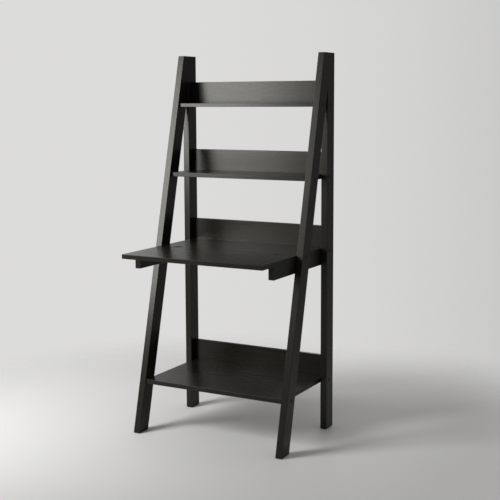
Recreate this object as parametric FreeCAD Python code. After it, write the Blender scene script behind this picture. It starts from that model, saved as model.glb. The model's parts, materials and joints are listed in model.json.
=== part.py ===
import FreeCAD, Part
import math
import os
from collections import namedtuple
from FreeCAD import Vector

# Ladder desk: two A-frames, each an upright rear post and a front leg that leans back against
# it, carry four tiers. Each tier is a board with a low backboard along its rear edge. The
# second tier is the desk: it runs far forward of the legs and lies on two side rails.
#
# All sizes are millimetres. +X is to the right of someone facing the desk, +Y points to the
# wall behind it and +Z is up. The origin is on the floor, under the middle of the whole desk.
# "Reach" is a distance forward from the rear faces of the posts, which stand at the wall.

# ---- driving dimensions ---------------------------------------------------------------------

# Frames
OVERALL_HEIGHT = 1550.0
OVERALL_WIDTH = 685.0
LEG_THICKNESS = 28.0            # across the desk
POST_DEPTH = 63.0               # rear post, from back to front
FRONT_LEG_WIDTH = 63.5          # front leg, square to its long edges
FRONT_LEG_FOOT_REACH = 473.5    # front edge of the front leg, at the floor
FRONT_LEG_TOP_REACH = 95.0      # front edge of the front leg, at the top
LEG_EDGE_RADIUS = 1.5

# Tiers: height of each upper face, place of each front edge and thickness of each board
BOTTOM_SHELF_HEIGHT = 217.0
DESK_HEIGHT = 760.0
MIDDLE_SHELF_HEIGHT = 1062.0
TOP_SHELF_HEIGHT = 1350.0
BOTTOM_SHELF_SETBACK = 3.5      # behind the front legs' front edges, at the shelf's height
MIDDLE_SHELF_SETBACK = 11.5
TOP_SHELF_SETBACK = 9.0
DESK_REACH = 571.0
BOARD_THICKNESS = 18.0
TOP_SHELF_THICKNESS = 15.0
REAR_GAP = 15.5                 # from the posts' rear faces to the rear edges of the boards
BOARD_EDGE_RADIUS = 1.0

# Backboards, each let into a rebate along the rear edge of its board
BACKBOARD_HEIGHT = 90.0         # above the board
BACKBOARD_THICKNESS = 15.0
BACKBOARD_REBATE_DEPTH = 3.0

# Desk rails
RAIL_THICKNESS = 24.0
RAIL_HEIGHT = 51.0
RAIL_REACH = 479.0
RAIL_EDGE_RADIUS = 1.5

# Connector bolts with barrel nuts, two at each end of each board
BOLT_DIAMETER = 6.0
BOLT_HEAD_DIAMETER = 14.0
BOLT_HEAD_THICKNESS = 2.4
BOLT_HEAD_RECESS = 3.0
BOLT_SOCKET_ACROSS_FLATS = 4.0
BOLT_SOCKET_DEPTH = 1.8
BOLT_SOCKET_SIDES = 6
BOLT_HEAD_CHAMFER = 0.8
BOLT_PAST_NUT = 4.0             # from the nut's axis to the bolt's tip
NUT_DIAMETER = 10.0
NUT_LENGTH = 10.0
NUT_FROM_BOARD_END = 34.0
REAR_BOLT_REACH = 40.0
NUT_SLOT_WIDTH = 1.2
NUT_SLOT_DEPTH = 1.0

# Locating dowels beside the connector bolts
DOWEL_DIAMETER = 6.0
DOWEL_FROM_BOLT = 15.0
DOWEL_DEPTH_IN_LEG = 14.0
DOWEL_DEPTH_IN_BOARD = 16.0

# Scarf joint at the top of each frame
APEX_SCREW_DROP = 25.0          # from the top down to the upper screw
APEX_SCREW_SPACING = 70.0
APEX_SCREW_DIAMETER = 6.0
APEX_SCREW_HEAD_DIAMETER = 10.0
APEX_SCREW_HEAD_THICKNESS = 3.0
APEX_SCREW_COUNTERBORE = 20.0
APEX_SCREW_LENGTH = 68.0        # from under the head to the tip
APEX_DOWEL_DIAMETER = 8.0
APEX_DOWEL_DEPTH = 18.0         # in the post and in the leg

# Wood screws through the rails and the boards
SCREW_DIAMETER = 4.0
SCREW_HEAD_DIAMETER = 7.6
SCREW_HEAD_HEIGHT = 2.6
RAIL_SCREW_LENGTH = 40.0
RAIL_SCREW_FROM_EDGE = 13.0     # from the rail's upper and lower edges
DESK_SCREW_LENGTH = 34.0
DESK_SCREW_GRIP = 13.0          # how far the tip goes into the desk top
DESK_SCREW_REACHES = (440.0, 345.0, 140.0)
BACKBOARD_SCREW_LENGTH = 46.0
BACKBOARD_SCREW_OFFSETS = (-220.0, 0.0, 220.0)
BACKBOARD_DOWEL_OFFSETS = (-110.0, 110.0)
BACKBOARD_DOWEL_DEPTH_IN_SHELF = 7.0
BACKBOARD_DOWEL_DEPTH_IN_BOARD = 16.0

# Cable grommets, let in flush with the desk top
GROMMET_FROM_BOARD_END = 81.5   # to the grommet's middle
GROMMET_REACH = 292.0
GROMMET_FLANGE_DIAMETER = 46.0
GROMMET_FLANGE_THICKNESS = 1.6
GROMMET_BARREL_DIAMETER = 40.0
GROMMET_BARREL_LENGTH = 15.5
GROMMET_SEAT_DIAMETER = 37.0
GROMMET_SEAT_DEPTH = 2.2
GROMMET_BORE_DIAMETER = 34.0
GROMMET_CHAMFER = 0.5
CAP_THICKNESS = 2.0
CAP_RIM_CLEARANCE = 0.25
CAP_SKIRT_CLEARANCE = 0.1
CAP_SKIRT_WALL = 1.5
CAP_SKIRT_DEPTH = 7.0
CAP_SEAT_CLEARANCE = 0.1
CAP_CHAMFER = 0.4
CAP_FINGER_SLOT_WIDTH = 2.0
CAP_FINGER_SLOTS = 3
CABLE_NOTCH_WIDTH = 12.0
CABLE_NOTCH_FROM_CENTRE = 9.0

# Nail-on floor glides
GLIDE_DIAMETER = 20.0
GLIDE_THICKNESS = 2.0
GLIDE_CHAMFER = 0.7
GLIDE_NAIL_DIAMETER = 2.4
GLIDE_NAIL_LENGTH = 12.0
GLIDE_NAIL_POINT = 3.0

# Radial clearances of the holes
BOLT_HOLE_CLEARANCE = 0.25
BOLT_HEAD_CLEARANCE = 0.3
NUT_THREAD_CLEARANCE = 0.05
NUT_HOLE_CLEARANCE = 0.1
DOWEL_CLEARANCE = 0.05
DOWEL_END_CLEARANCE = 0.3
SCREW_CLEARANCE = 0.05
GROMMET_HOLE_CLEARANCE = 0.15
GLIDE_NAIL_CLEARANCE = 0.05

# Hardware and its holes are many-sided
SHANK_SIDES = 6                 # shanks, dowels, nuts and nails
HEAD_SIDES = 10                 # bolt heads and floor glides
GROMMET_SIDES = 28

# ---- sizes that follow ----------------------------------------------------------------------

SIDES = {"left": -1, "right": 1}

OUTER_X = OVERALL_WIDTH / 2
INNER_X = OUTER_X - LEG_THICKNESS
LEG_MIDDLE_X = OUTER_X - LEG_THICKNESS / 2
RAIL_INNER_X = INNER_X - RAIL_THICKNESS
RAIL_MIDDLE_X = INNER_X - RAIL_THICKNESS / 2
NUT_X = INNER_X - NUT_FROM_BOARD_END
GROMMET_X = INNER_X - GROMMET_FROM_BOARD_END

LEAN = (FRONT_LEG_FOOT_REACH - FRONT_LEG_TOP_REACH) / OVERALL_HEIGHT
FRONT_LEG_DEPTH = FRONT_LEG_WIDTH * math.sqrt(1 + LEAN ** 2)    # measured level
SCARF_FOOT_HEIGHT = (FRONT_LEG_FOOT_REACH - FRONT_LEG_DEPTH - POST_DEPTH) / LEAN

WALL_Y = max(DESK_REACH, FRONT_LEG_FOOT_REACH) / 2
BACKBOARD_MIDDLE_REACH = REAR_GAP + BACKBOARD_THICKNESS / 2
RAIL_TOP = DESK_HEIGHT - BOARD_THICKNESS
RAIL_BOTTOM = RAIL_TOP - RAIL_HEIGHT
APEX_SCREW_HEIGHTS = (
    OVERALL_HEIGHT - APEX_SCREW_DROP,
    OVERALL_HEIGHT - APEX_SCREW_DROP - APEX_SCREW_SPACING,
)
APEX_DOWEL_HEIGHT = sum(APEX_SCREW_HEIGHTS) / 2

X_AXIS = Vector(1, 0, 0)
Y_AXIS = Vector(0, 1, 0)
Z_AXIS = Vector(0, 0, 1)


def at_reach(reach):
    """Y of a point that lies this far forward of the posts' rear faces."""
    return WALL_Y - reach


def front_edge_reach(height):
    """Reach of the front leg's front edge at a height."""
    return FRONT_LEG_FOOT_REACH - LEAN * height


def front_bolt_reach(height):
    """Reach of the front leg's middle line at a height."""
    return front_edge_reach(height) - FRONT_LEG_DEPTH / 2


Tier = namedtuple("Tier", "name board backboard height thickness reach")
TIERS = (
    Tier("bottom", "bottom_shelf", "bottom_backboard", BOTTOM_SHELF_HEIGHT, BOARD_THICKNESS,
         front_edge_reach(BOTTOM_SHELF_HEIGHT) - BOTTOM_SHELF_SETBACK),
    Tier("desk", "desk_top", "desk_backboard", DESK_HEIGHT, BOARD_THICKNESS, DESK_REACH),
    Tier("middle", "middle_shelf", "middle_backboard", MIDDLE_SHELF_HEIGHT, BOARD_THICKNESS,
         front_edge_reach(MIDDLE_SHELF_HEIGHT) - MIDDLE_SHELF_SETBACK),
    Tier("top", "top_shelf", "top_backboard", TOP_SHELF_HEIGHT, TOP_SHELF_THICKNESS,
         front_edge_reach(TOP_SHELF_HEIGHT) - TOP_SHELF_SETBACK),
)


def bolt_height(tier):
    """Connector bolts and dowels lie at the middle of a board's thickness."""
    return tier.height - tier.thickness / 2


def bolt_and_dowel_reaches(tier):
    """Reaches of the (bolt, dowel) pairs in the front leg and in the rear post."""
    front = front_bolt_reach(bolt_height(tier))
    return (
        (front, front - DOWEL_FROM_BOLT),
        (REAR_BOLT_REACH, REAR_BOLT_REACH + DOWEL_FROM_BOLT),
    )


# ---- geometry helpers -----------------------------------------------------------------------

def block(x_range, y_range, z_range):
    """Box between the lower and upper value of each range."""
    x_low, x_high = sorted(x_range)
    y_low, y_high = sorted(y_range)
    z_low, z_high = sorted(z_range)
    corner = Vector(x_low, y_low, z_low)
    return Part.makeBox(x_high - x_low, y_high - y_low, z_high - z_low, corner)


def eased(solid, radius, chosen):
    """Solid with its chosen edges rounded; the choice is a test of each edge."""
    return solid.makeFillet(radius, [edge for edge in solid.Edges if chosen(edge)])


def ring(radius, height, sides):
    """Corners of a many-sided ring about Z, with the first one repeated at the end."""
    turns = [2 * math.pi * (k % sides + 0.5) / sides for k in range(sides + 1)]
    return [Vector(radius * math.cos(t), radius * math.sin(t), height) for t in turns]


def faceted(profile, sides):
    """Many-sided solid about Z; its (radius, height) profile runs up from the axis back to it."""
    faces = []
    for (low_radius, low), (high_radius, high) in zip(profile, profile[1:]):
        lower = ring(low_radius, low, sides)
        upper = ring(high_radius, high, sides)
        for k in range(sides):
            corners = [lower[k]]
            corners += [lower[k + 1]] if low_radius else []
            corners += [upper[k + 1], upper[k]] if high_radius else [upper[k]]
            faces.append(Part.Face(Part.makePolygon(corners + corners[:1])))
    shell = Part.makeShell(faces)
    shell.sewShape()
    return Part.makeSolid(shell).removeSplitter().Solids[0]


def rod(radius, start, end, sides=SHANK_SIDES):
    """Plain rod from one point to another."""
    length = (end - start).Length
    prism = faceted([(0, 0), (radius, 0), (radius, length), (0, length)], sides)
    return placed(prism, start, end - start)


def placed(shape, point, direction):
    """Copy of a shape made along Z, moved to a point and turned to a direction."""
    copy = shape.copy()
    place = FreeCAD.Placement(point, FreeCAD.Rotation(Z_AXIS, direction))
    copy.Placement = place.multiply(shape.Placement)
    return copy


def cut(shape, tools):
    """Shape with the tools taken out, as one clean solid."""
    return shape.cut(Part.makeCompound(tools)).removeSplitter().Solids[0]


def group(shapes):
    """Loose pieces of one kind in one shape."""
    return Part.makeCompound(shapes)


# ---- hardware, each made along Z with its seat at the origin --------------------------------

def connector_bolt():
    """Flat-headed bolt with a hex socket; the head lies above the origin, the shank below."""
    length = (LEG_THICKNESS - BOLT_HEAD_RECESS) + NUT_FROM_BOARD_END + BOLT_PAST_NUT
    rim = BOLT_HEAD_DIAMETER / 2
    head = faceted([
        (0, 0),
        (rim, 0),
        (rim, BOLT_HEAD_THICKNESS - BOLT_HEAD_CHAMFER),
        (rim - BOLT_HEAD_CHAMFER, BOLT_HEAD_THICKNESS),
        (0, BOLT_HEAD_THICKNESS),
    ], HEAD_SIDES)
    shank = rod(BOLT_DIAMETER / 2, Vector(0, 0, -length), Vector(0, 0, 0))
    socket_floor = Vector(0, 0, BOLT_HEAD_THICKNESS - BOLT_SOCKET_DEPTH)
    socket = rod(BOLT_SOCKET_ACROSS_FLATS / 2 / math.cos(math.pi / BOLT_SOCKET_SIDES),
                 socket_floor, Vector(0, 0, 2 * BOLT_HEAD_THICKNESS), BOLT_SOCKET_SIDES)
    return cut(head.fuse(shank), [socket])


def barrel_nut():
    """Cross dowel along Z, centred on the origin, with its thread along X and a driver slot."""
    half = NUT_LENGTH / 2
    radius = NUT_DIAMETER / 2
    body = rod(radius, Vector(0, 0, -half), Vector(0, 0, half))
    thread = rod(BOLT_DIAMETER / 2 + NUT_THREAD_CLEARANCE,
                 Vector(-radius, 0, 0), Vector(radius, 0, 0))
    slot = block((-radius, radius), (-NUT_SLOT_WIDTH / 2, NUT_SLOT_WIDTH / 2),
                 (-half, NUT_SLOT_DEPTH - half))
    return cut(body, [thread, slot])


def dowel(diameter, length):
    """Plain dowel along Z, centred on the origin."""
    return rod(diameter / 2, Vector(0, 0, -length / 2), Vector(0, 0, length / 2))


def countersunk(length, wall):
    """Countersunk screw form, grown by a wall; the head ends at the origin, the tip is below."""
    radius = SCREW_DIAMETER / 2 + wall
    return faceted([
        (0, -length - wall),
        (radius, SCREW_DIAMETER - length - wall),
        (radius, -SCREW_HEAD_HEIGHT),
        (SCREW_HEAD_DIAMETER / 2 + wall, 0),
        (0, 0),
    ], SHANK_SIDES)


def apex_screw():
    """Stout cylinder-headed screw; the head lies above the origin, the shank below."""
    radius = APEX_SCREW_DIAMETER / 2
    head = APEX_SCREW_HEAD_DIAMETER / 2
    return faceted([
        (0, -APEX_SCREW_LENGTH),
        (radius, APEX_SCREW_DIAMETER - APEX_SCREW_LENGTH),
        (radius, 0),
        (head, 0),
        (head, APEX_SCREW_HEAD_THICKNESS),
        (0, APEX_SCREW_HEAD_THICKNESS),
    ], SHANK_SIDES)


def floor_glide():
    """Chamfered foot disc below the origin with its nail above."""
    rim = GLIDE_DIAMETER / 2
    disc = faceted([
        (0, -GLIDE_THICKNESS),
        (rim - GLIDE_CHAMFER, -GLIDE_THICKNESS),
        (rim, GLIDE_CHAMFER - GLIDE_THICKNESS),
        (rim, 0),
        (0, 0),
    ], HEAD_SIDES)
    nail = GLIDE_NAIL_DIAMETER / 2
    pin = faceted([
        (0, 0),
        (nail, 0),
        (nail, GLIDE_NAIL_LENGTH - GLIDE_NAIL_POINT),
        (0, GLIDE_NAIL_LENGTH),
    ], SHANK_SIDES)
    return disc.fuse(pin)


def grommet_liner():
    """Flanged sleeve; the flange's underside is at the origin. A ledge inside carries the cap."""
    ledge = GROMMET_FLANGE_THICKNESS - GROMMET_SEAT_DEPTH
    flange = GROMMET_FLANGE_DIAMETER / 2
    barrel = GROMMET_BARREL_DIAMETER / 2
    body = faceted([
        (0, -GROMMET_BARREL_LENGTH),
        (barrel, -GROMMET_BARREL_LENGTH),
        (barrel, 0),
        (flange, 0),
        (flange, GROMMET_FLANGE_THICKNESS - GROMMET_CHAMFER),
        (flange - GROMMET_CHAMFER, GROMMET_FLANGE_THICKNESS),
        (0, GROMMET_FLANGE_THICKNESS),
    ], GROMMET_SIDES)
    inside = faceted([
        (0, -GROMMET_BARREL_LENGTH),
        (GROMMET_BORE_DIAMETER / 2, -GROMMET_BARREL_LENGTH),
        (GROMMET_BORE_DIAMETER / 2, ledge),
        (GROMMET_SEAT_DIAMETER / 2, ledge),
        (GROMMET_SEAT_DIAMETER / 2, GROMMET_FLANGE_THICKNESS),
        (0, GROMMET_FLANGE_THICKNESS),
    ], GROMMET_SIDES)
    return cut(body, [inside])


def grommet_cap():
    """Cap that drops into the liner: a disc, a slit skirt and a cable notch on the wall side."""
    bottom = GROMMET_FLANGE_THICKNESS - GROMMET_SEAT_DEPTH + CAP_SEAT_CLEARANCE
    top = bottom + CAP_THICKNESS
    rim = GROMMET_SEAT_DIAMETER / 2 - CAP_RIM_CLEARANCE
    skirt = GROMMET_BORE_DIAMETER / 2 - CAP_SKIRT_CLEARANCE
    inside = skirt - CAP_SKIRT_WALL
    skirt_end = bottom - CAP_SKIRT_DEPTH
    body = faceted([
        (0, bottom),
        (inside, bottom),
        (inside, skirt_end),
        (skirt, skirt_end),
        (skirt, bottom),
        (rim, bottom),
        (rim, top - CAP_CHAMFER),
        (rim - CAP_CHAMFER, top),
        (0, top),
    ], GROMMET_SIDES)
    notch_floor = CABLE_NOTCH_FROM_CENTRE + CABLE_NOTCH_WIDTH / 2
    notch_centre = Vector(0, notch_floor, skirt_end)
    notch_top = Vector(0, notch_floor, top)
    tools = [
        rod(CABLE_NOTCH_WIDTH / 2, notch_centre, notch_top, sides=HEAD_SIDES),
        block((-CABLE_NOTCH_WIDTH / 2, CABLE_NOTCH_WIDTH / 2),
              (notch_floor, rim + CAP_THICKNESS), (skirt_end, top)),
    ]
    slit = block((inside - CAP_SKIRT_WALL, rim),
                 (-CAP_FINGER_SLOT_WIDTH / 2, CAP_FINGER_SLOT_WIDTH / 2), (skirt_end, bottom))
    for k in range(CAP_FINGER_SLOTS):
        turn = 180 + 180 * k / (CAP_FINGER_SLOTS - 1)
        slit_copy = slit.copy()
        slit_copy.rotate(Vector(0, 0, 0), Z_AXIS, turn)
        tools.append(slit_copy)
    return cut(body, tools)


# ---- where the hardware goes ----------------------------------------------------------------

def screwed(length, points, direction, wall=0):
    """Countersunk screws, or with a wall their holes, with heads at the points, driven along
    the direction."""
    return [placed(countersunk(length, wall), point, direction * -1) for point in points]


def shelf_bolt_holes(side, tier):
    """Holes for one board's bolts and dowels, through the leg or post and into the board."""
    height = bolt_height(tier)
    hole = BOLT_DIAMETER / 2 + BOLT_HOLE_CLEARANCE
    tools = []
    for bolt_reach, dowel_reach in bolt_and_dowel_reaches(tier):
        y = at_reach(bolt_reach)
        tip_x = NUT_X - BOLT_PAST_NUT - DOWEL_END_CLEARANCE
        tools.append(rod(hole, Vector(side * tip_x, y, height), Vector(side * OUTER_X, y, height)))
        tools.append(rod(
            BOLT_HEAD_DIAMETER / 2 + BOLT_HEAD_CLEARANCE,
            Vector(side * (OUTER_X - BOLT_HEAD_RECESS), y, height),
            Vector(side * (OUTER_X + BOLT_HEAD_RECESS), y, height), sides=HEAD_SIDES))
        tools.append(rod(
            DOWEL_DIAMETER / 2 + DOWEL_CLEARANCE,
            Vector(side * (INNER_X - DOWEL_DEPTH_IN_BOARD), at_reach(dowel_reach), height),
            Vector(side * (INNER_X + DOWEL_DEPTH_IN_LEG), at_reach(dowel_reach), height)))
        tools.append(rod(
            NUT_DIAMETER / 2 + NUT_HOLE_CLEARANCE,
            Vector(side * NUT_X, y, tier.height - tier.thickness),
            Vector(side * NUT_X, y, height + NUT_LENGTH / 2 + NUT_HOLE_CLEARANCE)))
    return tools


def shelf_hardware(tier):
    """The bolts, barrel nuts and dowels of one board."""
    bolts, nuts, dowels = [], [], []
    height = bolt_height(tier)
    dowel_length = DOWEL_DEPTH_IN_LEG + DOWEL_DEPTH_IN_BOARD - 2 * DOWEL_END_CLEARANCE
    dowel_x = INNER_X + (DOWEL_DEPTH_IN_LEG - DOWEL_DEPTH_IN_BOARD) / 2
    for side in SIDES.values():
        for bolt_reach, dowel_reach in bolt_and_dowel_reaches(tier):
            y = at_reach(bolt_reach)
            seat = Vector(side * (OUTER_X - BOLT_HEAD_RECESS), y, height)
            bolts.append(placed(connector_bolt(), seat, X_AXIS * side))
            nuts.append(placed(barrel_nut(), Vector(side * NUT_X, y, height), Z_AXIS))
            middle = Vector(side * dowel_x, at_reach(dowel_reach), height)
            dowels.append(placed(dowel(DOWEL_DIAMETER, dowel_length), middle, X_AXIS))
    return bolts, nuts, dowels


def rail_screw_points(side):
    """Heads of the screws that hold one rail to its leg and its post."""
    heights = (RAIL_BOTTOM + RAIL_SCREW_FROM_EDGE, RAIL_TOP - RAIL_SCREW_FROM_EDGE)
    points = []
    for height in heights:
        for reach in (front_bolt_reach(height), POST_DEPTH / 2):
            points.append(Vector(side * RAIL_INNER_X, at_reach(reach), height))
    return points


def desk_screw_points(side):
    """Heads of the screws that hold the desk top down on one rail."""
    height = RAIL_TOP + DESK_SCREW_GRIP - DESK_SCREW_LENGTH
    return [Vector(side * RAIL_MIDDLE_X, at_reach(r), height) for r in DESK_SCREW_REACHES]


def backboard_screw_points(tier):
    """Heads of the screws that rise through a board into its backboard."""
    y = at_reach(BACKBOARD_MIDDLE_REACH)
    return [Vector(x, y, tier.height - tier.thickness) for x in BACKBOARD_SCREW_OFFSETS]


def backboard_dowel_ends(tier):
    """Lower and upper end of the dowel holes between a board and its backboard."""
    y = at_reach(BACKBOARD_MIDDLE_REACH)
    seat = tier.height - BACKBOARD_REBATE_DEPTH
    low = seat - BACKBOARD_DOWEL_DEPTH_IN_SHELF
    high = seat + BACKBOARD_DOWEL_DEPTH_IN_BOARD
    return [(Vector(x, y, low), Vector(x, y, high)) for x in BACKBOARD_DOWEL_OFFSETS]


def backboard_holes(tier):
    """Screw and dowel holes shared by a board and its backboard."""
    tools = screwed(BACKBOARD_SCREW_LENGTH, backboard_screw_points(tier), Z_AXIS, SCREW_CLEARANCE)
    for low, high in backboard_dowel_ends(tier):
        tools.append(rod(DOWEL_DIAMETER / 2 + DOWEL_CLEARANCE, low, high))
    return tools


def apex_holes(side):
    """Screw and dowel holes of the scarf joint of one frame."""
    x = side * LEG_MIDDLE_X
    hole = APEX_SCREW_DIAMETER / 2 + SCREW_CLEARANCE
    head = APEX_SCREW_HEAD_DIAMETER / 2 + BOLT_HEAD_CLEARANCE
    tip_reach = APEX_SCREW_COUNTERBORE + APEX_SCREW_LENGTH + SCREW_CLEARANCE
    tools = []
    for height in APEX_SCREW_HEIGHTS:
        back = Vector(x, at_reach(0), height)
        tools.append(rod(hole, back, Vector(x, at_reach(tip_reach), height)))
        tools.append(rod(head, back, Vector(x, at_reach(APEX_SCREW_COUNTERBORE), height)))
    tools.append(rod(
        APEX_DOWEL_DIAMETER / 2 + DOWEL_CLEARANCE,
        Vector(x, at_reach(POST_DEPTH - APEX_DOWEL_DEPTH), APEX_DOWEL_HEIGHT),
        Vector(x, at_reach(POST_DEPTH + APEX_DOWEL_DEPTH), APEX_DOWEL_HEIGHT)))
    return tools


def glide_points():
    """Seats of the floor glides: the middle of each foot."""
    reaches = (POST_DEPTH / 2, front_bolt_reach(GLIDE_THICKNESS))
    return [Vector(side * LEG_MIDDLE_X, at_reach(reach), GLIDE_THICKNESS)
            for side in SIDES.values() for reach in reaches]


def glide_nail_holes():
    """Holes for the glides' nails."""
    radius = GLIDE_NAIL_DIAMETER / 2 + GLIDE_NAIL_CLEARANCE
    rise = Z_AXIS * (GLIDE_NAIL_LENGTH + GLIDE_NAIL_CLEARANCE)
    return [rod(radius, point, point + rise) for point in glide_points()]


def grommet_points():
    """Centres of the two cable grommets, under their flanges."""
    y = at_reach(GROMMET_REACH)
    z = DESK_HEIGHT - GROMMET_FLANGE_THICKNESS
    return {name: Vector(side * GROMMET_X, y, z) for name, side in SIDES.items()}


def grommet_holes():
    """Holes for the grommets' barrels, each with a recess for the flange."""
    barrel = GROMMET_BARREL_DIAMETER / 2 + GROMMET_HOLE_CLEARANCE
    flange = GROMMET_FLANGE_DIAMETER / 2 + GROMMET_HOLE_CLEARANCE
    hole = faceted([
        (0, -BOARD_THICKNESS),
        (barrel, -BOARD_THICKNESS),
        (barrel, 0),
        (flange, 0),
        (flange, BOARD_THICKNESS),
        (0, BOARD_THICKNESS),
    ], GROMMET_SIDES)
    return [placed(hole, centre, Z_AXIS) for centre in grommet_points().values()]


# ---- wooden pieces --------------------------------------------------------------------------

def frame_holes(side):
    """Every hole in the post and the leg of one side."""
    tools = apex_holes(side) + glide_nail_holes()
    for tier in TIERS:
        tools += shelf_bolt_holes(side, tier)
    return tools + screwed(
        RAIL_SCREW_LENGTH, rail_screw_points(side), X_AXIS * side, SCREW_CLEARANCE)


def is_leg_edge(edge):
    """True for the long edges of a leg or a post."""
    return edge.Length > OVERALL_HEIGHT / 2


def rear_post(side):
    """Upright post with rounded long edges."""
    solid = block(
        (side * INNER_X, side * OUTER_X),
        (at_reach(POST_DEPTH), at_reach(0)),
        (GLIDE_THICKNESS, OVERALL_HEIGHT))
    return cut(eased(solid, LEG_EDGE_RADIUS, is_leg_edge), frame_holes(side))


def front_leg(side):
    """Leaning leg, cut level at the foot and the top and upright where it meets the post."""
    foot = front_edge_reach(GLIDE_THICKNESS)
    outline = (
        (foot, GLIDE_THICKNESS),
        (foot - FRONT_LEG_DEPTH, GLIDE_THICKNESS),
        (POST_DEPTH, SCARF_FOOT_HEIGHT),
        (POST_DEPTH, OVERALL_HEIGHT),
        (FRONT_LEG_TOP_REACH, OVERALL_HEIGHT),
    )
    inner = side * INNER_X
    points = [Vector(inner, at_reach(reach), height) for reach, height in outline]
    face = Part.Face(Part.makePolygon(points + points[:1]))
    solid = face.extrude(X_AXIS * side * LEG_THICKNESS)
    return cut(eased(solid, LEG_EDGE_RADIUS, is_leg_edge), frame_holes(side))


def desk_rail(side):
    """Side rail under the desk top, held to the inner faces of the leg and the post."""
    solid = block(
        (side * RAIL_INNER_X, side * INNER_X),
        (at_reach(RAIL_REACH), at_reach(REAR_GAP)),
        (RAIL_BOTTOM, RAIL_TOP))
    solid = eased(solid, RAIL_EDGE_RADIUS, lambda edge:
                  edge.BoundBox.ZMax < RAIL_TOP - RAIL_EDGE_RADIUS and edge.Length > RAIL_HEIGHT)
    desk_screws = desk_screw_points(side)
    tools = screwed(RAIL_SCREW_LENGTH, rail_screw_points(side), X_AXIS * side, SCREW_CLEARANCE)
    tools += screwed(DESK_SCREW_LENGTH, desk_screws, Z_AXIS, SCREW_CLEARANCE)
    for point in desk_screws:
        mouth = Vector(point.x, point.y, RAIL_BOTTOM)
        tools.append(rod(SCREW_HEAD_DIAMETER / 2 + SCREW_CLEARANCE, mouth, point))
    return cut(solid, tools)


def backboard_block(tier):
    """The full block of a tier's backboard, from the floor of its rebate."""
    return block(
        (-INNER_X, INNER_X),
        (at_reach(REAR_GAP + BACKBOARD_THICKNESS), at_reach(REAR_GAP)),
        (tier.height - BACKBOARD_REBATE_DEPTH, tier.height + BACKBOARD_HEIGHT))


def tier_board(tier):
    """Board between the frames, with its rebate and its bolt, nut, dowel and screw holes."""
    front = at_reach(tier.reach)
    solid = block(
        (-INNER_X, INNER_X), (front, at_reach(REAR_GAP)), (tier.height - tier.thickness, tier.height))
    solid = eased(solid, BOARD_EDGE_RADIUS, lambda edge:
                  edge.BoundBox.YMax < front + BOARD_EDGE_RADIUS and edge.Length > INNER_X)
    tools = backboard_holes(tier) + [backboard_block(tier)]
    for side in SIDES.values():
        tools += shelf_bolt_holes(side, tier)
    if tier.name == "desk":
        tools += grommet_holes()
        for side in SIDES.values():
            tools += screwed(DESK_SCREW_LENGTH, desk_screw_points(side), Z_AXIS, SCREW_CLEARANCE)
    return cut(solid, tools)


def tier_backboard(tier):
    """Low upright board between the posts, let into the rear edge of its shelf."""
    top = tier.height + BACKBOARD_HEIGHT
    solid = eased(backboard_block(tier), BOARD_EDGE_RADIUS, lambda edge:
                  edge.BoundBox.ZMin > top - BOARD_EDGE_RADIUS and edge.Length > INNER_X)
    return cut(solid, backboard_holes(tier))


# ---- the whole desk, one entry for each node ------------------------------------------------

def frame_nodes():
    """Posts, legs and rails, with the hardware of the scarf joints, rails and feet."""
    nodes = {}
    apex_screws, apex_dowels, rail_screws, desk_screws = [], [], [], []
    apex_dowel = dowel(APEX_DOWEL_DIAMETER, 2 * (APEX_DOWEL_DEPTH - DOWEL_END_CLEARANCE))
    for name, side in SIDES.items():
        nodes[name + "_rear_post"] = rear_post(side)
        nodes[name + "_front_leg"] = front_leg(side)
        nodes[name + "_desk_rail"] = desk_rail(side)
        x = side * LEG_MIDDLE_X
        for height in APEX_SCREW_HEIGHTS:
            seat = Vector(x, at_reach(APEX_SCREW_COUNTERBORE), height)
            apex_screws.append(placed(apex_screw(), seat, Y_AXIS))
        middle = Vector(x, at_reach(POST_DEPTH), APEX_DOWEL_HEIGHT)
        apex_dowels.append(placed(apex_dowel, middle, Y_AXIS))
        rail_screws += screwed(RAIL_SCREW_LENGTH, rail_screw_points(side), X_AXIS * side)
        desk_screws += screwed(DESK_SCREW_LENGTH, desk_screw_points(side), Z_AXIS)
    nodes["apex_screws"] = group(apex_screws)
    nodes["apex_dowels"] = group(apex_dowels)
    nodes["rail_screws"] = group(rail_screws)
    nodes["desk_screws"] = group(desk_screws)
    nodes["floor_glides"] = group([placed(floor_glide(), p, Z_AXIS) for p in glide_points()])
    return nodes


def tier_nodes():
    """Boards and backboards with their bolts, barrel nuts, dowels and screws."""
    nodes = {}
    for tier in TIERS:
        bolts, nuts, dowels = shelf_hardware(tier)
        nodes[tier.board] = tier_board(tier)
        nodes[tier.backboard] = tier_backboard(tier)
        nodes[tier.name + "_bolts"] = group(bolts)
        nodes[tier.name + "_barrel_nuts"] = group(nuts)
        nodes[tier.name + "_end_dowels"] = group(dowels)
        nodes[tier.backboard + "_screws"] = group(
            screwed(BACKBOARD_SCREW_LENGTH, backboard_screw_points(tier), Z_AXIS))
        pegs = []
        for low, high in backboard_dowel_ends(tier):
            peg = dowel(DOWEL_DIAMETER, (high - low).Length - 2 * DOWEL_END_CLEARANCE)
            pegs.append(placed(peg, (low + high) / 2, Z_AXIS))
        nodes[tier.backboard + "_dowels"] = group(pegs)
    return nodes


def grommet_nodes():
    """Liner and cap of each cable grommet."""
    nodes = {}
    for name, centre in grommet_points().items():
        nodes[name + "_grommet_liner"] = placed(grommet_liner(), centre, Z_AXIS)
        nodes[name + "_grommet_cap"] = placed(grommet_cap(), centre, Z_AXIS)
    return nodes


def main():
    nodes = {}
    nodes.update(frame_nodes())
    nodes.update(tier_nodes())
    nodes.update(grommet_nodes())
    os.makedirs("parts", exist_ok=True)
    for name, shape in nodes.items():
        shape.exportStep("parts/" + name + ".step")


main()
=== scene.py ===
import json
import math
from collections import namedtuple

import bmesh
import bpy
from mathutils import Matrix, Vector


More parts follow.
